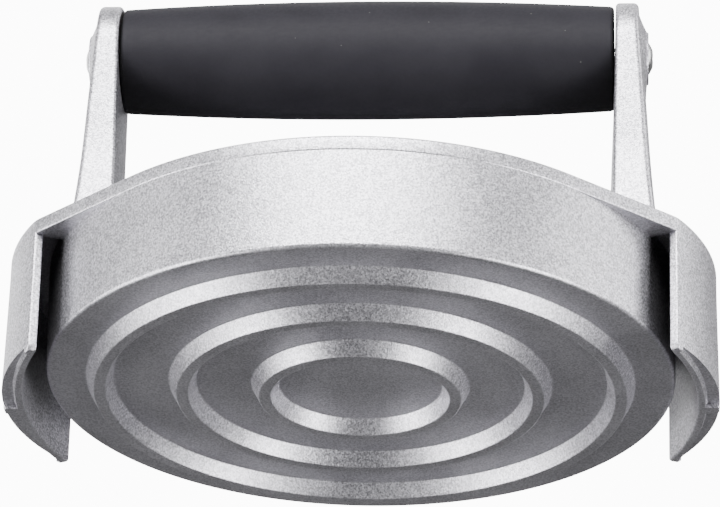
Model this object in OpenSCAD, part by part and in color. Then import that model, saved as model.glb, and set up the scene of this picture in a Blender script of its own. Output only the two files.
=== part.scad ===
// Patty press: a cast pressing head with concentric rings under its plate, two curved
// guide wings and two arms that carry a free-turning barrel grip on a steel tie rod.
// X runs along the grip, Z is up, and the feet stand on Z = 0.

/* [Pressing plate] */
// Diameter of the pressing face
press_d = 110; // [100:1:120]
// Height of the pressing face above the feet
press_z = 4.5; // [3.5:0.1:6]
// Thickness of the plate behind the pressing face
floor_t = 3.5; // [3:0.1:5]
// Mean radius of the smallest ring
ring_first_r = 16.7; // [15:0.1:18]
// Step in radius from one ring to the next
ring_pitch = 14.45; // [13:0.05:15]
// How far the rings stand out of the pressing face
ring_h = 2.8; // [1:0.1:3.2]
// Flat width along the crest of a ring
ring_crest_w = 2.0; // [1:0.1:3]
// Run of each sloping side of a ring
ring_slope_w = 1.4; // [0.8:0.1:2]

/* [Skirt and top plate] */
// Wall thickness of the skirt at its top
skirt_t = 3.1; // [2.5:0.1:4]
// How much the skirt radius grows from the rim to the top plate
skirt_draft = 0.4; // [0.1:0.1:0.5]
// Height of the underside of the top plate above the feet
top_plate_z = 22.2; // [21:0.1:24]
// Thickness of the top plate
top_plate_t = 2.8; // [2.4:0.1:4]
// Depth of the groove in the top plate between skirt and wing
groove_depth = 1.2; // [0.4:0.1:1.6]
// Bevel on the rims
rim_bevel = 0.6; // [0.3:0.1:1]

/* [Guide wings] */
// Radius of the inner face of the wings
wing_in_r = 59; // [58.5:0.1:60]
// Thickness of a wing at its ends
wing_t = 1.6; // [1.4:0.1:2]
// Half of the angle that a wing spans
wing_half_angle = 24; // [18:1:28]
// Distance from the centre to the middle of a wing's outer face
wing_mid_x = 62.8; // [62:0.1:64]
// Height of the recess under the thick part of a wing
wing_recess_z = 0.9; // [0.5:0.1:2]
// Width of the rib that divides the recess
wing_rib_w = 2.0; // [1:0.1:3]
// How far behind the middle of the wing that rib starts
wing_rib_y = 0; // [-2:0.1:2]

/* [Arms] */
// Height of the grip axis above the feet
axis_z = 69.1; // [66:0.1:75]
// Half of the clear width between the arms at their foot
arm_in_foot = 44.05; // [43.8:0.05:44.3]
// Half of the clear width between the arms at their top
arm_in_top = 44.95; // [44.8:0.05:45.3]
// Distance from the centre to the outer face of an arm at its foot
arm_out_foot = 52.5; // [51.8:0.1:53.2]
// The same a fifth of the way up the arm
arm_out_low = 51.4; // [50.9:0.1:51.7]
// The same halfway up, where the flare begins
arm_out_mid = 50.4; // [49.9:0.1:50.7]
// The same at the top of the arm
arm_out_top = 48.2; // [47.8:0.1:48.5]
// Radius of the round head of an arm
arm_head_r = 10.1; // [9.5:0.1:11]
// Depth of an arm, front to back, at its narrowest
arm_waist = 17; // [14:0.5:20]
// Depth of an arm at its foot
arm_foot = 19; // [17:0.5:22]

/* [Grip] */
// Largest diameter of the grip, at mid length
grip_mid_d = 21.5; // [20:0.1:22]
// Diameter of the grip at its ends
grip_end_d = 18.9; // [18.6:0.1:20]
// Length of the grip
grip_len = 88.6; // [86.8:0.1:88.6]
// Diameter of the tie rod
rod_d = 8; // [7:0.1:8.4]
// Outer diameter of the rigid tube inside the grip
core_d = 15; // [14.8:0.1:15.2]
// Wall thickness of that tube
core_t = 2; // [1.8:0.1:2.4]

/* [Fasteners] */
// Nominal diameter of the end screws
screw_d = 4; // [3.5:0.5:4]
// Length of the end screws under the head
screw_len = 14; // [12:1:18]
// Diameter of the screw heads
screw_head_d = 7.6; // [7:0.1:7.8]
// Height of the screw heads
screw_head_h = 2.2; // [1.8:0.1:2.4]
// Width across flats of the hexagon socket
socket_af = 2.5; // [2:0.5:2.5]

/* [Hidden] */
$fn = 96;
eps = 0.01;
// How far pieces of one casting run into each other
lap = 0.2;

press_r = press_d / 2;
floor_z = press_z + floor_t;
skirt_top_r = press_r + skirt_draft;
plate_r = skirt_top_r + 0.1;
top_z = top_plate_z + top_plate_t;
cup_top_r = plate_r - skirt_t;
cup_floor_r = cup_top_r - 0.8;
ring_count = 3;

wing_out_r = wing_in_r + wing_t;
// The outer face is one arc through both ends of the wing and the middle point
bulge_x = (pow(wing_mid_x, 2) - pow(wing_out_r, 2)) / (2 * (wing_mid_x - wing_corner(1)[0]));
bulge_r = wing_mid_x - bulge_x;
// Where the straight front edge of the top plate meets the disc
tangent_angle = wing_half_angle + acos(plate_r / wing_out_r);

// Where two shapes of the casting would end on the same line, one stops just short
inset_angle = wing_half_angle - 0.5;

arm_top_z = axis_z + arm_head_r;
arm_waist_z = top_z + 20;
// Below the top plate an arm runs into the skirt wall this far out
foot_out_x = skirt_top_r - 1.5;
head_boss_r = 7;
seat_x = 44.5;
boss_face_x = 50.6;
boss_face_r = 4.9;
boss_mid_x = 49.7;
boss_mid_r = 6.6;
boss_base_x = 47.9;
boss_base_r = 9.4;
screw_seat_x = 48.9;
screw_hole_d = screw_d + 0.4;
drill_run_out = 3;
washer_t = 0.5;
// Long enough for a shape or a cut to go right through what it meets
reach = 20;
counterbore_r = screw_head_d / 2 + 0.3;

play = 0.05;
spacer_t = 0.5;
spacer_r = 6.5;
end_gap = 0.3;
flange_t = 1;
flange_x = seat_x - spacer_t - end_gap;
core_half = flange_x - flange_t;
flange_r = core_d / 2 - 0.2;
bush_len = 10;
edge_r = 1.5;
core_in_r = core_d / 2 - core_t;

cast_colour = [0.76, 0.77, 0.78];
steel_colour = [0.86, 0.87, 0.88];
dark_colour = [0.13, 0.13, 0.14];
plastic_colour = [0.9, 0.89, 0.85];

function polar(r, a) = [r * cos(a), r * sin(a)];
function wing_corner(side) = polar(wing_out_r, side * wing_half_angle);
function ring_r(i) = ring_first_r + i * ring_pitch;
function arc(cx, cy, r, a0, a1, n) = [for (i = [0:n]) [cx, cy] + polar(r, a0 + (a1 - a0) * i / n)];
// Radius of the barrel grip at a distance x from its middle
grip_half = grip_len / 2;
grip_arc_r = (pow(grip_half, 2) + pow((grip_mid_d - grip_end_d) / 2, 2)) / (grip_mid_d - grip_end_d);
function grip_r(x) = grip_mid_d / 2 - grip_arc_r + sqrt(pow(grip_arc_r, 2) - pow(x, 2));

// Turns a shape made about Z so that it lies about the grip axis, nose towards +X
module on_axis() {
    translate([0, 0, axis_z]) rotate([0, 90, 0]) children();
}

module tube(r_out, r_in, x0, x1) {
    on_axis() translate([0, 0, x0]) difference() {
        cylinder(r = r_out, h = x1 - x0);
        translate([0, 0, -eps]) cylinder(r = r_in, h = x1 - x0 + 2 * eps);
    }
}

// ---- press_body ----

module skirt_and_cup() {
    rotate_extrude() polygon([
        [0, press_z],
        [press_r - rim_bevel, press_z],
        [press_r, press_z + rim_bevel],
        [skirt_top_r, top_plate_z + lap],
        [cup_top_r - lap, top_plate_z + lap],
        [cup_floor_r, floor_z],
        [0, floor_z]
    ]);
}

module ring(r) {
    half_crest = ring_crest_w / 2;
    half_base = half_crest + ring_slope_w;
    rotate_extrude() polygon([
        [r - half_base, press_z],
        [r - half_crest, press_z - ring_h],
        [r + half_crest, press_z - ring_h],
        [r + half_base, press_z],
        [r + half_crest, press_z + 1],
        [r - half_crest, press_z + 1]
    ]);
}

module wedge(reach, half_angle) {
    polygon([[0, 0], polar(reach, -half_angle), polar(reach, half_angle)]);
}

// Flat ring plate over the skirt, with straight edges that run out to the wing ends
module top_plate_outline() {
    difference() {
        union() {
            circle(r = plate_r);
            both_sides() {
                polygon([
                    [0, 0],
                    polar(plate_r - lap, -tangent_angle),
                    polar(wing_out_r - lap, -inset_angle),
                    polar(wing_out_r - lap, inset_angle),
                    polar(plate_r - lap, tangent_angle)
                ]);
                intersection() {
                    circle(r = wing_in_r + wing_t / 2);
                    wedge(2 * wing_mid_x, wing_half_angle);
                }
            }
        }
        circle(r = cup_top_r);
    }
}

// The slot between skirt and wing goes on as a groove into the underside of the top plate
module groove_outline() {
    intersection() {
        difference() {
            circle(r = wing_in_r + lap);
            circle(r = skirt_top_r + lap);
        }
        wedge(2 * wing_mid_x, inset_angle);
    }
}

module top_plate() {
    translate([0, 0, top_plate_z]) difference() {
        linear_extrude(top_plate_t) top_plate_outline();
        translate([0, 0, -1]) linear_extrude(groove_depth + 1) both_sides() groove_outline();
    }
}

// A wing is a curved slab, hollowed from below outside its lip
module wing() {
    difference() {
        linear_extrude(top_z) difference() {
            intersection() {
                translate([bulge_x, 0]) circle(r = bulge_r);
                wedge(2 * wing_mid_x, wing_half_angle);
            }
            circle(r = wing_in_r);
        }
        translate([0, 0, -1]) linear_extrude(wing_recess_z + 1) difference() {
            circle(r = 2 * wing_mid_x);
            circle(r = wing_out_r);
            translate([0, wing_rib_y]) square([2 * wing_mid_x, wing_rib_w]);
        }
    }
}

// Front view of an arm: x across, y up
module arm_front() {
    polygon([
        [arm_in_foot, floor_z - lap],
        [arm_in_foot, top_z],
        [arm_in_top, arm_top_z],
        [arm_out_top, arm_top_z],
        [arm_out_mid, arm_waist_z],
        [arm_out_low, top_z + 9],
        [arm_out_foot, top_z],
        [foot_out_x, top_z - 0.5],
        [foot_out_x, floor_z - lap]
    ]);
}

// Side view of an arm: x is front to back, y up
module arm_side() {
    translate([0, axis_z]) circle(r = arm_head_r);
    polygon([
        [-arm_foot / 2, floor_z - lap],
        [arm_foot / 2, floor_z - lap],
        [arm_foot / 2, top_z],
        [arm_waist / 2, arm_waist_z],
        [arm_head_r, axis_z],
        [-arm_head_r, axis_z],
        [-arm_waist / 2, arm_waist_z],
        [-arm_foot / 2, top_z]
    ]);
}

module arm() {
    difference() {
        union() {
            intersection() {
                rotate([90, 0, 0]) linear_extrude(2 * reach, center = true) arm_front();
                rotate([90, 0, 90]) linear_extrude(wing_mid_x) arm_side();
            }
            on_axis() translate([0, 0, seat_x]) cylinder(r = head_boss_r, h = 2);
            on_axis() translate([0, 0, boss_base_x]) {
                cylinder(r1 = boss_base_r, r2 = boss_mid_r, h = boss_mid_x - boss_base_x);
            }
            on_axis() translate([0, 0, boss_mid_x - lap]) {
                cylinder(r1 = boss_mid_r, r2 = boss_face_r, h = boss_face_x - boss_mid_x + lap);
            }
        }
        on_axis() translate([0, 0, seat_x - 1]) cylinder(d = screw_hole_d, h = reach);
        on_axis() translate([0, 0, screw_seat_x]) cylinder(r = counterbore_r, h = reach);
    }
}

module both_sides() {
    children();
    mirror([1, 0, 0]) children();
}

module press_body() {
    color(cast_colour) {
        skirt_and_cup();
        top_plate();
        both_sides() wing();
        for (i = [0:ring_count - 1]) ring(ring_r(i));
        both_sides() arm();
    }
}

// ---- fixed hardware on the grip axis ----

module tie_rod() {
    hole_len = screw_len - (screw_seat_x + washer_t - seat_x) + drill_run_out;
    color(steel_colour) difference() {
        on_axis() translate([0, 0, -seat_x]) cylinder(d = rod_d, h = 2 * seat_x);
        both_sides() {
            on_axis() translate([0, 0, seat_x - hole_len]) cylinder(d = screw_d, h = hole_len + 1);
        }
    }
}

// A screw made about Z: its shank points down and its seat is at Z = 0
module button_screw() {
    head_r = screw_head_d / 2;
    // The dome is a cap of this sphere, standing on a short cylindrical rim
    rim_h = 0.4;
    dome_h = screw_head_h - rim_h;
    dome_r = (pow(head_r, 2) + pow(dome_h, 2)) / (2 * dome_h);
    socket_depth = 1.3;
    thread_play = 0.04;
    difference() {
        union() {
            cylinder(r = head_r, h = rim_h + eps);
            translate([0, 0, rim_h]) intersection() {
                translate([0, 0, dome_h - dome_r]) sphere(r = dome_r);
                cylinder(r = head_r, h = dome_h);
            }
            translate([0, 0, -screw_len]) cylinder(d = screw_d - thread_play, h = screw_len + eps);
        }
        translate([0, 0, screw_head_h - socket_depth]) {
            cylinder(d = socket_af / cos(30), h = screw_head_h, $fn = 6);
        }
    }
}

module screw_right() {
    color(steel_colour) on_axis() translate([0, 0, screw_seat_x + washer_t]) button_screw();
}

module screw_left() {
    mirror([1, 0, 0]) screw_right();
}

// Split spring washer under a screw head
module washer_right() {
    edge = 0.1;
    split = 0.6;
    color(steel_colour) difference() {
        tube(screw_head_d / 2 - edge, screw_d / 2 + edge, screw_seat_x, screw_seat_x + washer_t);
        translate([screw_seat_x - 1, -split / 2, axis_z]) cube([washer_t + 2, split, screw_head_d]);
    }
}

module washer_left() {
    mirror([1, 0, 0]) washer_right();
}

module spacer_right() {
    color(plastic_colour) tube(spacer_r, rod_d / 2 + play, seat_x - spacer_t, seat_x);
}

module spacer_left() {
    mirror([1, 0, 0]) spacer_right();
}

// ---- the turning grip ----

module grip_core() {
    color(steel_colour) tube(core_d / 2, core_in_r, -core_half, core_half);
}

module bush_right() {
    color(plastic_colour) {
        tube(core_in_r, rod_d / 2 + play, core_half - bush_len, core_half + eps);
        tube(flange_r, rod_d / 2 + play, core_half, flange_x);
    }
}

module bush_left() {
    mirror([1, 0, 0]) bush_right();
}

// The sleeve's section: distance from the axis against distance from its middle
module sleeve_outline() {
    steps = 24;
    shoulder_x = grip_half - edge_r;
    shoulder_r = grip_r(shoulder_x);
    polygon(concat(
        [[core_d / 2, -grip_half]],
        arc(shoulder_r - edge_r, -shoulder_x, edge_r, -90, 0, 4),
        [for (i = [1:steps - 1]) let (x = shoulder_x * (2 * i / steps - 1)) [grip_r(x), x]],
        arc(shoulder_r - edge_r, shoulder_x, edge_r, 0, 90, 4),
        [[core_d / 2, grip_half]]
    ));
}

module grip_sleeve() {
    color(dark_colour) on_axis() rotate_extrude() sleeve_outline();
}

press_body();
tie_rod();
screw_left();
screw_right();
washer_left();
washer_right();
spacer_left();
spacer_right();
grip_core();
bush_left();
bush_right();
grip_sleeve();
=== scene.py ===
"""Looks of the patty press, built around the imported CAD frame.

Shapes are in millimetres until they become meshes.
"""
import math

import bmesh
import bpy
import numpy as np
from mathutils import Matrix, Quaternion, Vector


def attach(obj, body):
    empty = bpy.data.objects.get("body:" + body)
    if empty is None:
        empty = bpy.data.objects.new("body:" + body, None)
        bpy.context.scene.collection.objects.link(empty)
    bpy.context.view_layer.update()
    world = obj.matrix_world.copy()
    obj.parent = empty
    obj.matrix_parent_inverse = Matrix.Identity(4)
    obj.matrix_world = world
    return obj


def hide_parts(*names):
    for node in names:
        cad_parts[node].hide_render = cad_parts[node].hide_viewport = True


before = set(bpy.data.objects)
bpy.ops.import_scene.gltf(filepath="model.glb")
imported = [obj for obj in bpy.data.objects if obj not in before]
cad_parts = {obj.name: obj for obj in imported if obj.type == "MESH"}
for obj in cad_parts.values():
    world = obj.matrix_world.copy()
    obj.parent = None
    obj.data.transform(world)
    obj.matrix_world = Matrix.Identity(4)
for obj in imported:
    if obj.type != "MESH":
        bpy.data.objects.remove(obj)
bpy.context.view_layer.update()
scene = bpy.context.scene
MM = 0.001

# ---------------------------------------------------------------- sizes, mm

AXIS_Z = 69.1  # grip axis
# pressing drum
DISC_R, DISC_FILLET = 55.0, 0.75
SKIRT_TOP_R = 55.4
FACE_Z, FLOOR_Z = 4.5, 8.0
RING_RADII = (16.7, 31.15, 45.6)
RING_H, CREST_W, SLOPE_W = 2.8, 2.0, 1.4
RING_BASE_FILLET, RING_CREST_FILLET = 0.4, 0.35
# cup in the drum: radius and fillet at its floor, radius at its mouth, rounding of the mouth
CUP_FLOOR_R, CUP_FILLET, CUP_TOP_R, CUP_EDGE = 51.6, 1.4, 52.37, 0.5
# top plate, and the groove under it between skirt and wing
PLATE_R = 55.47
PLATE_Z, TOP_Z = 22.2, 25.0
PLATE_EDGE_LOW, PLATE_EDGE_TOP = 0.3, 0.5
GROOVE_HALF, GROOVE_TOP_Z = math.radians(23.5), PLATE_Z + 1.2
# wings
WING_IN_R, WING_OUT_R = 59.0, 60.6
WING_HALF = math.radians(24)
TANGENT = WING_HALF + math.acos(PLATE_R / WING_OUT_R)
WING_MID_LOW, WING_MID_TOP = 62.75, 62.35
CLEAR_R = 66.0  # beyond the wings, for what is cut from them
WING_TOP_Z, WING_EDGE = TOP_Z - 0.6, 0.4
WING_CORNER_OUT, WING_CORNER_IN = 0.9, 0.5
FOOT_END_R = 1.1
RECESS_Z, RECESS_SLOPE, RECESS_MARGIN = 0.9, 0.9, 0.025
RIB_W = 2.0
# arm heads and what the end screws sit in
HEAD_R = 10.1
BOSS_X, BOSS_R, BOSS_BASE_R, BOSS_EDGE = 50.65, 4.8, 8.9, 0.3
SEAT_X, COUNTERBORE_R, SCREW_HOLE_R = 48.9, 4.1, 2.2
TURNS = 384

# ---------------------------------------------------------------- mesh tools


def mesh_object(name, points, faces):
    """An object from points in millimetres, with near points joined and its faces turned outwards."""
    mesh = bpy.data.meshes.new(name)
    mesh.from_pydata([tuple(MM * float(c) for c in p) for p in points], [], faces)
    bm = bmesh.new()
    bm.from_mesh(mesh)
    bmesh.ops.remove_doubles(bm, verts=bm.verts, dist=1e-7)
    bmesh.ops.recalc_face_normals(bm, faces=bm.faces)
    bm.to_mesh(mesh)
    bm.free()
    obj = bpy.data.objects.new(name, mesh)
    scene.collection.objects.link(obj)
    return obj


def skin(name, rings, loop=False, ladder=False):
    """A closed skin through rings of equally many points.

    The end rings are capped, or joined to each other in a loop. A ladder cap has rungs between the
    ring's first half and its second half, for a crescent that one face can't fill.
    """
    n, count = len(rings[0]), len(rings)
    faces = []
    for j in range(count if loop else count - 1):
        a, b = j * n, (j + 1) % count * n
        for i in range(n):
            k = (i + 1) % n
            faces.append((a + i, a + k, b + k, b + i))
    if not loop:
        for start in (0, (count - 1) * n):
            ring = rings[start // n]
            if ladder:
                faces += [
                    (start + i, start + i + 1, start + n - 2 - i, start + n - 1 - i)
                    for i in range(n // 2 - 1)
                ]
            elif np.ptp(ring, axis=0).max() > 1e-6:
                faces.append(tuple(range(start, start + n)))
    return mesh_object(name, np.vstack(rings), faces)


def rounded(corners, steps=4, closed=False):
    """A path through corners (u, v, radius), each rounded to its radius."""
    path, count = [], len(corners)
    for i, (u, v, radius) in enumerate(corners):
        here = np.array((u, v), float)
        if radius == 0 or (not closed and i in (0, count - 1)):
            path.append(here)
            continue
        back = np.array(corners[i - 1][:2], float) - here
        ahead = np.array(corners[(i + 1) % count][:2], float) - here
        back_len, ahead_len = np.linalg.norm(back), np.linalg.norm(ahead)
        back, ahead = back / back_len, ahead / ahead_len
        half = math.acos(max(-1.0, min(1.0, float(back @ ahead)))) / 2
        reach = min(radius / math.tan(half), 0.49 * back_len, 0.49 * ahead_len)
        r = reach * math.tan(half)
        middle = (back + ahead) / np.linalg.norm(back + ahead)
        centre = here + middle * r / math.sin(half)
        a0 = math.atan2(*(here + back * reach - centre)[::-1])
        a1 = math.atan2(*(here + ahead * reach - centre)[::-1])
        turn = (a1 - a0 + math.pi) % (2 * math.pi) - math.pi
        for t in np.linspace(0, 1, steps + 1):
            a = a0 + t * turn
            path.append(centre + r * np.array((math.cos(a), math.sin(a))))
    return np.array(path)


def lathe_z(name, profile):
    """Turns a profile of (radius, z) about Z."""
    a = np.linspace(0, 2 * math.pi, TURNS, endpoint=False)
    rings = [np.stack((r * np.cos(a), r * np.sin(a), np.full(TURNS, z)), 1) for r, z in profile]
    return skin(name, rings)


def lathe_x(name, profile, turns, loop=False):
    """Turns a profile of (radius, x) about the grip axis."""
    a = np.linspace(0, 2 * math.pi, turns, endpoint=False)
    rings = [
        np.stack((np.full(turns, x), r * np.cos(a), AXIS_Z + r * np.sin(a)), 1) for r, x in profile
    ]
    return skin(name, rings, loop)


def outward(outline):
    """Unit normals of a closed anticlockwise outline."""
    along = np.roll(outline, -1, 0) - np.roll(outline, 1, 0)
    normal = np.stack((along[:, 1], -along[:, 0]), 1)
    return normal / np.linalg.norm(normal, axis=1)[:, None]


def edge_steps(low, high, r_low, r_high, middle, steps=4):
    """(height, inset) of the rings of a prism with rounded bottom and top edges."""
    rows = []
    for i in range(steps + 1):
        a = math.pi / 2 * i / steps
        rows.append((low + r_low * (1 - math.sin(a)), r_low * (1 - math.cos(a))))
    rows.sort()
    rows += [(low + r_low + t * (high - r_high - low - r_low), 0) for t in middle]
    for i in range(steps + 1):
        a = math.pi / 2 * i / steps
        rows.append((high - r_high * (1 - math.sin(a)), r_high * (1 - math.cos(a))))
    return rows


def combine(target, others, operation):
    """Boolean of target with others, applied. The others are used up."""
    for other in others:
        change = target.modifiers.new("change", "BOOLEAN")
        change.solver, change.operation, change.object = "MANIFOLD", operation, other
        bpy.context.view_layer.update()
        graph = bpy.context.evaluated_depsgraph_get()
        made = bpy.data.meshes.new_from_object(target.evaluated_get(graph))
        target.modifiers.clear()
        if not made.polygons:
            raise SystemExit(f"the {operation} of {target.name} with {other.name} left nothing")
        target.data = made
        bpy.data.objects.remove(other)
    return target


def mirrored(obj):
    """A copy of obj on the other side of the YZ plane."""
    twin = obj.copy()
    twin.data = obj.data.copy()
    scene.collection.objects.link(twin)
    bm = bmesh.new()
    bm.from_mesh(twin.data)
    for v in bm.verts:
        v.co.x = -v.co.x
    bmesh.ops.reverse_faces(bm, faces=bm.faces)
    bm.to_mesh(twin.data)
    bm.free()
    return twin


def finish_surface(obj, angle=32):
    """Smooth shading, sharp where the surface turns by more than angle, with flats kept flat."""
    obj.data.shade_smooth()
    obj.data.set_sharp_from_angle(angle=math.radians(angle))
    weigh = obj.modifiers.new("weigh", "WEIGHTED_NORMAL")
    weigh.keep_sharp = True
    weigh.weight = 80
    return obj


# ---------------------------------------------------------------- press body


def wing_arc_r(a, mid_x):
    """Distance from the centre of a wing's outer face at angle a, where it bulges out to mid_x."""
    corner_x = WING_OUT_R * math.cos(WING_HALF)
    x = (mid_x**2 - WING_OUT_R**2) / (2 * (mid_x - corner_x))
    return x * np.cos(a) + np.sqrt((mid_x - x) ** 2 - (x * np.sin(a)) ** 2)


def plate_outline(steps=1440, overlap=0.03, reach=8, spread=3.0):
    """Disc with straight tangent edges out to the wings, with its corners smoothed over reach steps."""
    a = np.linspace(-math.pi, math.pi, steps, endpoint=False)
    fold = np.abs(np.abs((a + math.pi) % (2 * math.pi) - math.pi))
    fold = np.minimum(fold, math.pi - fold)
    r = np.full(len(a), PLATE_R)
    edge = fold < TANGENT
    r[edge] = PLATE_R / np.cos(TANGENT - fold[edge])
    wing_part = fold < WING_HALF
    r[wing_part] = wing_arc_r(fold[wing_part], WING_MID_TOP) + overlap
    shifts = np.arange(-reach, reach + 1)
    weights = np.exp(-0.5 * (shifts / spread) ** 2)
    weights /= weights.sum()
    r = sum(w * np.roll(r, k) for w, k in zip(weights, shifts))
    return np.stack((r * np.cos(a), r * np.sin(a)), 1)


def rounded_prism(name, outline, low, high, r_low, r_high):
    """An outline raised from low to high, with rounded bottom and top edges."""
    normal = outward(outline)
    rings = []
    for z, inset in edge_steps(low, high, r_low, r_high, (0.5,)):
        ring = outline - inset * normal
        rings.append(np.column_stack((ring, np.full(len(ring), z))))
    return skin(name, rings)


def sector(name, r0, r1, a0, a1, low, high, steps=48, slope=0.0):
    """A ring sector between radii r0 and r1 and angles a0 and a1. Its bottom reaches in by slope."""
    a = np.linspace(a0, a1, steps)
    rings = []
    for z, r in ((low, r0 - slope), (high, r0)):
        outline = np.vstack((
            np.stack((r1 * np.cos(a), r1 * np.sin(a)), 1),
            np.stack((r * np.cos(a), r * np.sin(a)), 1)[::-1],
        ))
        rings.append(np.column_stack((outline, np.full(len(outline), z))))
    return skin(name, rings, ladder=True)


def wing(name, steps=72):
    """Right wing: a curved slab that leans out towards its foot, with a recess outside its lip."""
    a = np.linspace(-WING_HALF, WING_HALF, steps)
    ends = (0, steps - 1)
    inner = [(WING_IN_R * math.cos(t), WING_IN_R * math.sin(t), WING_CORNER_IN if i in ends else 0)
             for i, t in enumerate(a[::-1])]
    rings = []
    rows = (0.02, 0.06, 0.12, 0.2, 0.3, 0.45, 0.6, 0.75, 0.9)
    for z, inset in edge_steps(0, WING_TOP_Z, WING_EDGE, WING_EDGE, rows):
        lean = (1 - z / WING_TOP_Z) ** 1.2
        mid = WING_MID_TOP + (WING_MID_LOW - WING_MID_TOP) * lean
        r = wing_arc_r(a, mid)
        outer = [(q * math.cos(t), q * math.sin(t), WING_CORNER_OUT if i in ends else 0)
                 for i, (q, t) in enumerate(zip(r, a))]
        outline = rounded(outer + inner, 5, closed=True)
        ring = outline - inset * outward(outline)
        # the foot's two ends curve up
        off = WING_HALF - np.abs(np.arctan2(ring[:, 1], ring[:, 0]))
        off = np.clip(off * np.hypot(ring[:, 0], ring[:, 1]), 0, FOOT_END_R) / FOOT_END_R
        lift = FOOT_END_R * (1 - np.sqrt(1 - (1 - off) ** 2))
        rings.append(np.column_stack((ring, lift + z * (WING_TOP_Z - lift) / WING_TOP_Z)))
    slab = skin(name, rings, ladder=True)
    # the rib between the two hollows stands just behind the middle
    rib_start, rib_end = -0.0008, math.asin(RIB_W / WING_OUT_R)
    spans = ((rib_end, WING_HALF - RECESS_MARGIN), (-WING_HALF + RECESS_MARGIN, rib_start))
    hollows = [
        sector("hollow", WING_OUT_R, CLEAR_R, a0, a1, -1, RECESS_Z, slope=RECESS_SLOPE)
        for a0, a1 in spans
    ]
    return combine(slab, hollows, "DIFFERENCE")


# tables of (z, value): half depth of an arm, its outer face and its inner face
ARM_SIDE = ((7.0, 9.5), (25.0, 9.5), (34.0, 9.0), (45.0, 8.5), (57.0, 9.2), (69.1, 10.1))
ARM_OUT = (
    (7.0, 54.1), (24.2, 54.1), (24.7, 53.55), (25.3, 52.95), (26.4, 52.45), (28.5, 52.05), (34.0, 51.4),
    (45.0, 50.4), (57.0, 49.63), (69.1, 48.85), (79.3, 48.2),
)
ARM_IN = ((7.0, 42.7), (8.4, 43.3), (9.6, 43.75), (25.0, 44.05), (79.3, 44.85))


def along(table, z):
    """Smooth curve through a table of (z, value), without overshoot."""
    xs, ys = np.array(table, float).T
    z = np.clip(np.asarray(z, float), xs[0], xs[-1])
    step = np.diff(xs)
    slope = np.diff(ys) / step
    tangent = np.concatenate(([slope[0]], np.zeros(len(xs) - 2), [slope[-1]]))
    for i in range(1, len(xs) - 1):
        if slope[i - 1] * slope[i] > 0:
            tangent[i] = 2 * slope[i - 1] * slope[i] / (slope[i - 1] + slope[i])
    i = np.clip(np.searchsorted(xs, z, "right") - 1, 0, len(xs) - 2)
    t = (z - xs[i]) / step[i]
    h00, h10 = 2 * t**3 - 3 * t**2 + 1, t**3 - 2 * t**2 + t
    return (
        h00 * ys[i] + h10 * step[i] * tangent[i]
        + (1 - h00) * ys[i + 1] + (t**3 - t**2) * step[i] * tangent[i + 1]
    )


def arm_face_x(y, z):
    """Outer face of the right arm: crowned from front to back."""
    half = np.where(z < AXIS_Z, along(ARM_SIDE, z), HEAD_R)
    crown = 0.7 * np.clip((z - 24) / 8, 0, 1)
    return along(ARM_OUT, z) + crown * (1 - (y / half) ** 2)


def arm_inner_x(y, z):
    """Inner face of the right arm: crowned too, most at the foot."""
    half = float(along(ARM_SIDE, z)) if z < AXIS_Z else HEAD_R
    crown = np.interp(z, (25, 45, 62, 80), (0.75, 0.5, 0.15, 0.1))
    return float(along(ARM_IN, z)) - crown * (1 - (y / half) ** 2)


def arm_columns(r_out=0.85, r_in=0.7, steps=6, across=14):
    """Points round a row of an arm: (share of its half depth, inset, face, depth below that face)."""
    turn = [math.pi / 2 * i / steps for i in range(steps + 1)]
    outer, inner = ("out", r_out), ("in", r_in)
    columns = []
    for side, first, last in ((1, outer, inner), (-1, inner, outer)):
        face, r = first
        columns += [(share, r, face, 0.0) for share in np.linspace(-side, side, across)]
        for (face, r), angles in ((first, turn[1:]), (last, turn[::-1][:-1])):
            for t in angles:
                columns.append((side, r * (1 - math.sin(t)), face, r * (1 - math.cos(t))))
    return columns


def arm(name):
    """Right arm: rows go up the leg and over the head, columns go round each row."""
    rise = np.concatenate((
        np.linspace(7, 23.5, 8), np.linspace(24, 30, 13), np.linspace(31, AXIS_Z - 0.01, 34)
    ))
    side = [(along(ARM_SIDE, z), z) for z in rise]
    over = np.radians(np.linspace(0, 90, 40))
    side += [(HEAD_R * math.cos(t), AXIS_Z + HEAD_R * math.sin(t)) for t in over]
    side = np.array(side, float)
    ahead = np.gradient(side, axis=0)
    normal = np.stack((ahead[:, 1], -ahead[:, 0]), 1)
    normal /= np.linalg.norm(normal, axis=1)[:, None]
    normal[: len(rise)][rise < 30] = (1, 0)
    normal[-1] = (0, 1)
    columns = arm_columns()
    rings = []
    for (half, z), (ny, nz) in zip(side, normal):
        ring = []
        for s, inset, face, depth in columns:
            y = s * max(half - inset * ny, 0.0)
            zz = z - inset * nz
            if face == "out":
                x = float(arm_face_x(np.array(y), np.array(zz))) - depth
            else:
                x = arm_inner_x(y, zz) + depth
            ring.append((x, y, zz))
        rings.append(np.array(ring))
    return skin(name, rings)


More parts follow.
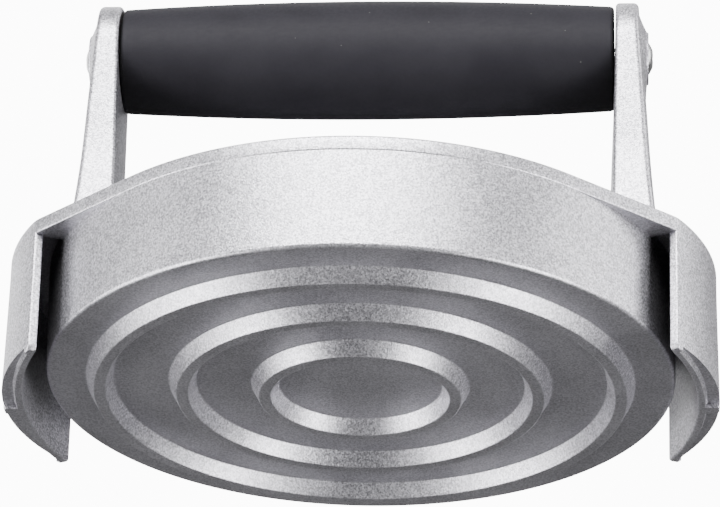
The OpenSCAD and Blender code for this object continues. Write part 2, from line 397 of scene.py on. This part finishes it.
def boss(name, turns=96):
    """The fairing that rises from the arm's head to the screw, drawn out downwards."""
    root_x, root_r = 45.8, 7.5
    a = np.linspace(0, 2 * math.pi, turns, endpoint=False)

    def circle(x, r):
        return np.stack((np.full(turns, x), r * np.cos(a), AXIS_Z + r * np.sin(a)), 1)

    down = 1 + 0.24 * np.clip(-np.sin(a), 0, 1)
    rings = [circle(root_x, root_r)]
    for t in np.linspace(0, 1, 16):
        r = BOSS_BASE_R + (BOSS_R - BOSS_BASE_R) * t
        stretch = 1 + (down - 1) * (1 - t)
        y, z = r * stretch * np.cos(a), AXIS_Z + r * stretch * np.sin(a)
        face = arm_face_x(y, z)
        rise = t ** (1.55 + 0.45 * np.sin(a))
        sink = 0.25 * (1 - t) ** 4
        rings.append(np.stack((face - sink + (BOSS_X - BOSS_EDGE - face) * rise, y, z), 1))
    for i in range(1, 5):
        t = math.pi / 2 * i / 4
        rings.append(circle(
            BOSS_X - BOSS_EDGE * (1 - math.sin(t)), BOSS_R - BOSS_EDGE * (1 - math.cos(t))
        ))
    return skin(name, rings)


def drum_profile():
    """Half section of the drum: the face with its rings, then the skirt."""
    crest, base = CREST_W / 2, CREST_W / 2 + SLOPE_W
    profile = [(0, FACE_Z, 0)]
    for r in RING_RADII:
        profile += [
            (r - base, FACE_Z, RING_BASE_FILLET), (r - crest, FACE_Z - RING_H, RING_CREST_FILLET),
            (r + crest, FACE_Z - RING_H, RING_CREST_FILLET), (r + base, FACE_Z, RING_BASE_FILLET),
        ]
    profile += [
        (DISC_R, FACE_Z, DISC_FILLET), (SKIRT_TOP_R, PLATE_Z + 1.4, 0),
        (SKIRT_TOP_R - 2, PLATE_Z + 2, 0), (0, PLATE_Z + 2, 0),
    ]
    return rounded(profile)


def cup_profile():
    """Half section of the cup, which runs out past the top."""
    edge_z = TOP_Z - CUP_EDGE
    cup = [(0, FLOOR_Z, 0), (CUP_FLOOR_R, FLOOR_Z, CUP_FILLET), (CUP_TOP_R, edge_z, 0.0)]
    profile = list(rounded(cup, 6))
    for i in range(1, 6):
        t = math.pi / 2 * i / 5
        profile.append((CUP_TOP_R + CUP_EDGE * (1 - math.cos(t)), edge_z + CUP_EDGE * math.sin(t)))
    return profile + [(CUP_TOP_R + CUP_EDGE, TOP_Z + 1), (0, TOP_Z + 1)]


def press_body():
    """The whole casting."""
    drum = lathe_z("drum", drum_profile())
    plate = rounded_prism("plate", plate_outline(), PLATE_Z, TOP_Z, PLATE_EDGE_LOW, PLATE_EDGE_TOP)
    grooves = [
        sector("groove", SKIRT_TOP_R - 0.15, WING_IN_R + 0.2, middle - GROOVE_HALF,
               middle + GROOVE_HALF, PLATE_Z - 1, GROOVE_TOP_Z)
        for middle in (0, math.pi)
    ]
    combine(plate, grooves, "DIFFERENCE")
    right_wing = wing("wing")
    combine(drum, [plate, right_wing, mirrored(right_wing)], "UNION")
    combine(drum, [lathe_z("cup", cup_profile())], "DIFFERENCE")

    right_arm = combine(arm("arm"), [boss("boss")], "UNION")
    past, inside = 54, 43
    bore = [(0, SEAT_X), (COUNTERBORE_R, SEAT_X), (COUNTERBORE_R, past), (0, past)]
    hole = [(0, inside), (SCREW_HOLE_R, inside), (SCREW_HOLE_R, past), (0, past)]
    combine(right_arm, [lathe_x("bore", bore, 96), lathe_x("hole", hole, 64)], "DIFFERENCE")
    combine(drum, [right_arm, mirrored(right_arm)], "UNION")
    drum.name = "press_casting"
    return finish_surface(drum)


# ---------------------------------------------------------------- small pieces


def screw(name):
    """Right end screw: domed head with a hex socket, and its shank."""
    seat, head_r, rim, tall = SEAT_X + 0.5, 3.8, 0.4, 2.2
    shank_r, shank, point = 1.98, 14, 0.4
    socket_af, socket_deep = 2.5, 1.3
    dome = tall - rim
    ball = (head_r**2 + dome**2) / (2 * dome)
    profile = [(0, seat - shank), (1.6, seat - shank), (shank_r, seat - shank + point)]
    profile += [(shank_r, seat), (head_r - 0.15, seat), (head_r, seat + 0.15), (head_r, seat + rim)]
    for x in np.linspace(rim, tall, 14)[1:-1]:
        profile.append((math.sqrt(ball**2 - (x - tall + ball) ** 2), seat + x))
    profile.append((0, seat + tall))
    body = lathe_x(name, profile, 96)
    a = np.radians(np.arange(0, 360, 60) + 30)
    r = socket_af / 2 / math.cos(math.radians(30))
    rings = [np.stack((np.full(6, x), r * np.cos(a), AXIS_Z + r * np.sin(a)), 1)
             for x in (seat + tall - socket_deep, seat + tall + 1)]
    combine(body, [skin("socket", rings)], "DIFFERENCE")
    body.name = name
    return finish_surface(body, 30)


def grip():
    """Barrel-shaped sleeve of the grip."""
    mid_r, end_r, half, edge, bore = 10.75, 9.45, 44.48, 0.8, 7.5
    arc_r = (half**2 + (mid_r - end_r) ** 2) / (2 * (mid_r - end_r))
    profile = []
    for x in np.linspace(-half + edge, half - edge, 61):
        profile.append((mid_r - arc_r + math.sqrt(arc_r**2 - x * x), x))
    shoulder = profile[-1][0]
    right = [(shoulder - edge + edge * math.cos(t), half - edge + edge * math.sin(t))
             for t in np.radians((15, 30, 45, 60, 75, 90))]
    left = [(r, -x) for r, x in right[::-1]]
    profile = left + profile + right + [(bore, half), (bore, -half)]
    sleeve = lathe_x("grip_cover", profile, 256, loop=True)
    return finish_surface(sleeve, 40)


# ---------------------------------------------------------------- materials


class Paint:
    """A node material built up in a few calls."""

    def __init__(self, name, color, metallic, roughness, **sockets):
        self.material = bpy.data.materials.new(name)
        self.material.use_nodes = True
        self.nodes, self.links = self.material.node_tree.nodes, self.material.node_tree.links
        self.shader = self.nodes["Principled BSDF"]
        self.shader.inputs["Base Color"].default_value = (*color, 1)
        self.shader.inputs["Metallic"].default_value = metallic
        self.shader.inputs["Roughness"].default_value = roughness
        for socket, value in sockets.items():
            self.shader.inputs[socket.replace("_", " ")].default_value = value
        where = self.nodes.new("ShaderNodeTexCoord").outputs
        self.place, self.normal = where["Object"], where["Normal"]

    def stretched(self, scale):
        node = self.nodes.new("ShaderNodeMapping")
        node.inputs["Scale"].default_value = scale
        self.links.new(self.place, node.inputs["Vector"])
        return node.outputs["Vector"]

    def noise(self, scale, detail=2.0, rough=0.5, place=None):
        node = self.nodes.new("ShaderNodeTexNoise")
        node.inputs["Scale"].default_value = scale
        node.inputs["Detail"].default_value = detail
        node.inputs["Roughness"].default_value = rough
        self.links.new(place or self.place, node.inputs["Vector"])
        return node.outputs["Fac"]

    def cells(self, scale, output="Color"):
        node = self.nodes.new("ShaderNodeTexVoronoi")
        node.inputs["Scale"].default_value = scale
        self.links.new(self.place, node.inputs["Vector"])
        return node.outputs[output]

    def ramp(self, value, low, high, a, b):
        """Maps value from low..high onto colour or number a..b, smoothly and clamped."""
        node = self.nodes.new("ShaderNodeMapRange")
        node.interpolation_type = "SMOOTHSTEP"
        node.inputs["From Min"].default_value = low
        node.inputs["From Max"].default_value = high
        node.inputs["To Min"].default_value = a
        node.inputs["To Max"].default_value = b
        self.links.new(value, node.inputs["Value"])
        return node.outputs["Result"]

    def math(self, operation, a, b):
        node = self.nodes.new("ShaderNodeMath")
        node.operation = operation
        for socket, value in zip(node.inputs, (a, b)):
            if isinstance(value, (int, float)):
                socket.default_value = value
            else:
                self.links.new(value, socket)
        return node.outputs[0]

    def blend(self, share, a, b):
        """Colour a where share is 0, b where it is 1."""
        node = self.nodes.new("ShaderNodeMix")
        node.data_type = "RGBA"
        node.inputs["A"].default_value = (*a, 1)
        node.inputs["B"].default_value = (*b, 1)
        self.links.new(share, node.inputs["Factor"])
        return node.outputs["Result"]

    def shelter(self, reach):
        """How open the surface is to its surroundings within reach: 1 in the open, 0 in a deep corner."""
        node = self.nodes.new("ShaderNodeAmbientOcclusion")
        node.samples = 8
        node.inputs["Distance"].default_value = reach
        return node.outputs["AO"]

    def shaded(self, color, share):
        """Colour times share."""
        node = self.nodes.new("ShaderNodeMix")
        node.data_type, node.blend_type = "RGBA", "MULTIPLY"
        node.inputs["Factor"].default_value = 1.0
        self.links.new(color, node.inputs["A"])
        self.links.new(share, node.inputs["B"])
        return node.outputs["Result"]

    def drive(self, socket, value):
        self.links.new(value, self.shader.inputs[socket])

    def bump(self, height, distance, strength=1.0):
        node = self.nodes.new("ShaderNodeBump")
        node.inputs["Distance"].default_value = distance
        node.inputs["Strength"].default_value = strength
        self.links.new(height, node.inputs["Height"])
        self.drive("Normal", node.outputs["Normal"])


def cast_aluminium():
    """Shot-blasted die casting: bright grey metal, faint clouds, a grain that is weakest face down, and
    painted shade that darkens the colour in slots, corners and recesses.
    """
    paint = Paint("cast_aluminium", (0.8, 0.8, 0.8), 1.0, 0.42)
    grain = paint.noise(2900, 3.0, 0.65)
    patches = paint.noise(70, 4.0, 0.55)
    speck = paint.ramp(paint.cells(3800), 0.25, 0.75, 0.0, 1.0)
    facing = paint.nodes.new("ShaderNodeSeparateXYZ")
    paint.links.new(paint.normal, facing.inputs[0])
    coarse = paint.ramp(facing.outputs["Z"], -0.95, -0.1, 0.6, 1.2)
    tone = paint.math("MULTIPLY", paint.ramp(grain, 0.32, 0.68, -0.5, 0.5), 0.44)
    tone = paint.math("ADD", tone, paint.math("MULTIPLY", paint.math("SUBTRACT", speck, 0.5), 0.5))
    tone = paint.math("MULTIPLY", tone, coarse)
    tone = paint.math("ADD", tone, paint.ramp(patches, 0.35, 0.65, 0.45, 0.55))
    bright = paint.blend(tone, (0.325, 0.32, 0.347), (0.96, 0.945, 1.0))
    # painted shade: the base colour darkens where ambient occlusion finds the surface closed in, in slots,
    # corners and recesses
    depth = paint.ramp(paint.shelter(0.009), 0.10, 0.62, 0.34, 1.0)
    paint.drive("Base Color", paint.shaded(bright, depth))
    rough = paint.ramp(grain, 0.3, 0.7, 0.34, 0.46)
    paint.drive("Roughness", paint.math("ADD", rough, paint.ramp(patches, 0.3, 0.7, 0.0, 0.06)))
    height = paint.math("ADD", grain, paint.math("MULTIPLY", paint.cells(3400, "Distance"), 0.6))
    paint.bump(paint.math("MULTIPLY", height, coarse), 0.00005, 0.6)
    return paint.material


def grip_plastic():
    """Near-black soft-touch grip, with faint mould texture, a few specks of dust, and painted shade that
    darkens the colour where the casting is close, mostly underneath.
    """
    paint = Paint("grip_plastic", (0.024, 0.023, 0.029), 0.0, 0.6, Specular_IOR_Level=0.15)
    fine = paint.noise(1500, 3.0, 0.6)
    cloud = paint.noise(90, 3.0, 0.5)
    clouds = paint.ramp(cloud, 0.3, 0.7, 0.0, 1.0)
    base = paint.blend(clouds, (0.014, 0.0131, 0.0172), (0.0187, 0.0178, 0.0222))
    dust = paint.math("LESS_THAN", paint.cells(420, "Distance"), 0.06)
    sparse = paint.math("GREATER_THAN", paint.noise(140, 1.0), 0.57)
    dust = paint.math("MULTIPLY", dust, sparse)
    mix = paint.nodes.new("ShaderNodeMix")
    mix.data_type = "RGBA"
    mix.inputs["B"].default_value = (0.07, 0.07, 0.068, 1)
    paint.links.new(base, mix.inputs["A"])
    paint.links.new(dust, mix.inputs["Factor"])
    # painted shade: the base colour darkens where ambient occlusion finds the casting close, mostly on the
    # grip's underside
    depth = paint.ramp(paint.shelter(0.05), 0.5, 1.0, 0.05, 1.0)
    paint.drive("Base Color", paint.shaded(mix.outputs["Result"], depth))
    rough = paint.ramp(fine, 0.3, 0.7, 0.54, 0.64)
    paint.drive("Roughness", paint.math("ADD", rough, paint.ramp(cloud, 0.3, 0.7, 0.0, 0.05)))
    paint.bump(fine, 0.00004, 0.5)
    return paint.material


def steel(name, color, roughness, scale):
    """Turned or rolled steel, with fine marks that an uneven scale draws out across the grip axis."""
    paint = Paint(name, color, 1.0, roughness)
    marks = paint.noise(1.0, 3.0, 0.6, paint.stretched(scale))
    stain = paint.noise(220, 3.0, 0.55)
    dark = tuple(0.82 * c for c in color)
    paint.drive("Base Color", paint.blend(paint.ramp(stain, 0.3, 0.7, 0.0, 1.0), color, dark))
    paint.drive("Roughness", paint.ramp(marks, 0.3, 0.7, roughness * 0.8, roughness * 1.35))
    paint.bump(marks, 0.00002, 0.4)
    return paint.material


def plastic(name, color):
    """Plain moulded plastic with a slight mould texture."""
    paint = Paint(name, color, 0.0, 0.4)
    fine = paint.noise(1800, 3.0, 0.55)
    cloud = paint.noise(120, 3.0, 0.5)
    dark = tuple(0.86 * c for c in color)
    paint.drive("Base Color", paint.blend(paint.ramp(cloud, 0.3, 0.7, 0.0, 1.0), color, dark))
    paint.drive("Roughness", paint.ramp(fine, 0.3, 0.7, 0.34, 0.5))
    paint.bump(fine, 0.00003, 0.5)
    return paint.material


def wear(obj, material):
    """Gives obj this material only."""
    obj.data.materials.clear()
    obj.data.materials.append(material)


# ---------------------------------------------------------------- camera

CAMERA_AZIMUTH = 3.95  # degrees towards +X from straight in front
CAMERA_ELEVATION = -26.04  # degrees, looking up from below
CAMERA_DISTANCE = 0.8019  # metres, as is the point it aims at
CAMERA_AIM = Vector((-0.0007, 0.0, 0.03015))
CAMERA_ROLL = 1.52  # degrees
CAMERA_LENS = 225.7  # mm on a sensor 36 mm wide


def make_camera():
    azimuth, elevation = math.radians(CAMERA_AZIMUTH), math.radians(CAMERA_ELEVATION)
    away = Vector(
        (
            math.sin(azimuth) * math.cos(elevation),
            -math.cos(azimuth) * math.cos(elevation),
            math.sin(elevation),
        )
    )
    data = bpy.data.cameras.new("camera")
    data.lens, data.sensor_width = CAMERA_LENS, 36
    data.clip_start, data.clip_end = 0.05, 20
    camera = bpy.data.objects.new("camera", data)
    camera.location = CAMERA_AIM + CAMERA_DISTANCE * away
    look = (-away).to_track_quat("-Z", "Y")
    camera.rotation_mode = "QUATERNION"
    camera.rotation_quaternion = look @ Quaternion((0, 0, 1), math.radians(CAMERA_ROLL))
    scene.collection.objects.link(camera)
    scene.camera = camera


# ---------------------------------------------------------------- studio

SOFTBOXES = (
    # name, azimuth and elevation in degrees, distance, width and height in metres, power in watts
    ("front", -4, 34, 0.9, 0.85, 0.5, 20),
    ("left", -66, -20, 0.9, 0.30, 0.75, 9),
    ("right", 66, -20, 0.9, 0.30, 0.75, 10),
    ("side_left", -98, 24, 0.9, 0.45, 0.8, 0.8),
    ("side_right", 98, 24, 0.9, 0.45, 0.8, 3.6),
    ("back_left", -142, 28, 0.9, 0.5, 0.4, 1.5),
    ("rim_left", -92, -26, 0.9, 0.2, 0.5, 2.6),
    ("back", 180, 62, 1.0, 0.9, 0.4, 2),
)


def make_lights():
    """Soft boxes round the object, all facing it."""
    for name, azimuth, elevation, distance, width, height, power in SOFTBOXES:
        light = bpy.data.lights.new("softbox_" + name, "AREA")
        light.shape, light.size, light.size_y = "RECTANGLE", width, height
        light.energy = power
        a, e = math.radians(azimuth), math.radians(elevation)
        away = Vector((math.sin(a) * math.cos(e), -math.cos(a) * math.cos(e), math.sin(e)))
        lamp = bpy.data.objects.new("softbox_" + name, light)
        lamp.location = Vector((0, 0, 0.03)) + distance * away
        lamp.rotation_euler = (-away).to_track_quat("-Z", "Y").to_euler()
        lamp.visible_camera = False
        scene.collection.objects.link(lamp)


BACKDROP = 12  # how bright the white behind the object looks to the camera
# the studio as the object sees it: brightness by height of the direction, from straight down to straight up,
# in front of the object and behind it
SKY_HEIGHTS = (0.0, 0.12, 0.24, 0.40, 0.52, 0.66, 0.85)
SKY_FRONT = (0.16, 0.12, 0.08, 0.13, 0.38, 0.55, 0.50)
SKY_BACK = (0.16, 0.15, 0.15, 0.14, 0.14, 0.20, 0.45)


def make_world():
    """White to the camera; to the object, a dim studio with a pale front and a lit floor."""
    world = bpy.data.worlds.new("studio")
    scene.world = world
    world.use_nodes = True
    nodes, links = world.node_tree.nodes, world.node_tree.links
    nodes.clear()
    out = nodes.new("ShaderNodeOutputWorld")
    seen = nodes.new("ShaderNodeBackground")
    seen.inputs["Color"].default_value = (1, 1, 1, 1)
    seen.inputs["Strength"].default_value = BACKDROP
    felt = nodes.new("ShaderNodeBackground")
    direction = nodes.new("ShaderNodeTexCoord")
    split = nodes.new("ShaderNodeSeparateXYZ")
    links.new(direction.outputs["Generated"], split.inputs[0])

    def unit(socket):
        """Maps -1..1 onto 0..1."""
        node = nodes.new("ShaderNodeMath")
        node.operation = "MULTIPLY_ADD"
        node.inputs[1].default_value = 0.5
        node.inputs[2].default_value = 0.5
        links.new(socket, node.inputs[0])
        return node.outputs[0]

    def heights(values):
        """Brightness by height of the direction."""
        node = nodes.new("ShaderNodeValToRGB")
        ramp = node.color_ramp
        ramp.interpolation = "EASE"
        while len(ramp.elements) < len(values):
            ramp.elements.new(0.5)
        for element, height, value in zip(ramp.elements, SKY_HEIGHTS, values):
            element.position = height
            element.color = (value, value, 1.01 * value, 1)
        links.new(unit(split.outputs["Z"]), node.inputs["Fac"])
        return node.outputs["Color"]

    turn = nodes.new("ShaderNodeMapRange")
    turn.interpolation_type = "SMOOTHSTEP"
    turn.inputs["From Min"].default_value = 0.35
    turn.inputs["From Max"].default_value = 0.65
    links.new(unit(split.outputs["Y"]), turn.inputs["Value"])
    both = nodes.new("ShaderNodeMix")
    both.data_type = "RGBA"
    links.new(turn.outputs["Result"], both.inputs["Factor"])
    links.new(heights(SKY_FRONT), both.inputs["A"])
    links.new(heights(SKY_BACK), both.inputs["B"])
    links.new(both.outputs["Result"], felt.inputs["Color"])
    mix = nodes.new("ShaderNodeMixShader")
    path = nodes.new("ShaderNodeLightPath")
    links.new(path.outputs["Is Camera Ray"], mix.inputs["Fac"])
    links.new(felt.outputs[0], mix.inputs[1])
    links.new(seen.outputs[0], mix.inputs[2])
    links.new(mix.outputs[0], out.inputs["Surface"])


# ---------------------------------------------------------------- assembly


def build():
    casting = press_body()
    wear(casting, cast_aluminium())
    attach(casting, "root")
    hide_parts("press_body")

    sleeve = grip()
    wear(sleeve, grip_plastic())
    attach(sleeve, "grip")
    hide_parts("grip_sleeve")

    screw_steel = steel("screw_steel", (0.97, 0.97, 0.98), 0.2, (2600, 500, 500))
    right = screw("end_screw_right")
    wear(right, screw_steel)
    left = mirrored(right)
    left.name = "end_screw_left"
    for piece, node in ((right, "screw_right"), (left, "screw_left")):
        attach(piece, "root")
        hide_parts(node)

    rod_steel = steel("rod_steel", (0.72, 0.72, 0.73), 0.28, (3000, 300, 300))
    spring_steel = steel("spring_steel", (0.5, 0.5, 0.52), 0.35, (900, 900, 900))
    bearing = plastic("bearing_plastic", (0.8, 0.79, 0.74))
    core = plastic("core_plastic", (0.06, 0.06, 0.065))
    worn = {
        "tie_rod": rod_steel, "washer_left": spring_steel, "washer_right": spring_steel,
        "spacer_left": bearing, "spacer_right": bearing, "bush_left": bearing, "bush_right": bearing,
        "grip_core": core,
    }
    for node, material in worn.items():
        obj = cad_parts[node]
        wear(obj, material)


def make_floor():
    """Pale floor under the feet.

    It is one-sided, so the camera can look up through it at the pressing face.
    """
    reach = 1500
    points = [(-reach, -reach, 0), (reach, -reach, 0), (reach, reach, 0), (-reach, reach, 0)]
    floor = mesh_object("floor", points, [(0, 1, 2, 3)])
    material = bpy.data.materials.new("floor")
    material.use_nodes = True
    nodes, links = material.node_tree.nodes, material.node_tree.links
    shader = nodes["Principled BSDF"]
    shader.inputs["Base Color"].default_value = (0.86, 0.86, 0.86, 1)
    shader.inputs["Roughness"].default_value = 0.7
    clear = nodes.new("ShaderNodeBsdfTransparent")
    mix = nodes.new("ShaderNodeMixShader")
    side = nodes.new("ShaderNodeNewGeometry")
    links.new(side.outputs["Backfacing"], mix.inputs["Fac"])
    links.new(shader.outputs[0], mix.inputs[1])
    links.new(clear.outputs[0], mix.inputs[2])
    links.new(mix.outputs[0], nodes["Material Output"].inputs["Surface"])
    floor.data.materials.append(material)
    if floor.data.polygons[0].normal.z < 0:
        floor.data.flip_normals()
    floor.location.z = -0.0002
    floor.visible_diffuse = floor.visible_glossy = floor.visible_shadow = False


build()
make_floor()
make_camera()
make_lights()
make_world()
bpy.context.view_layer.update()
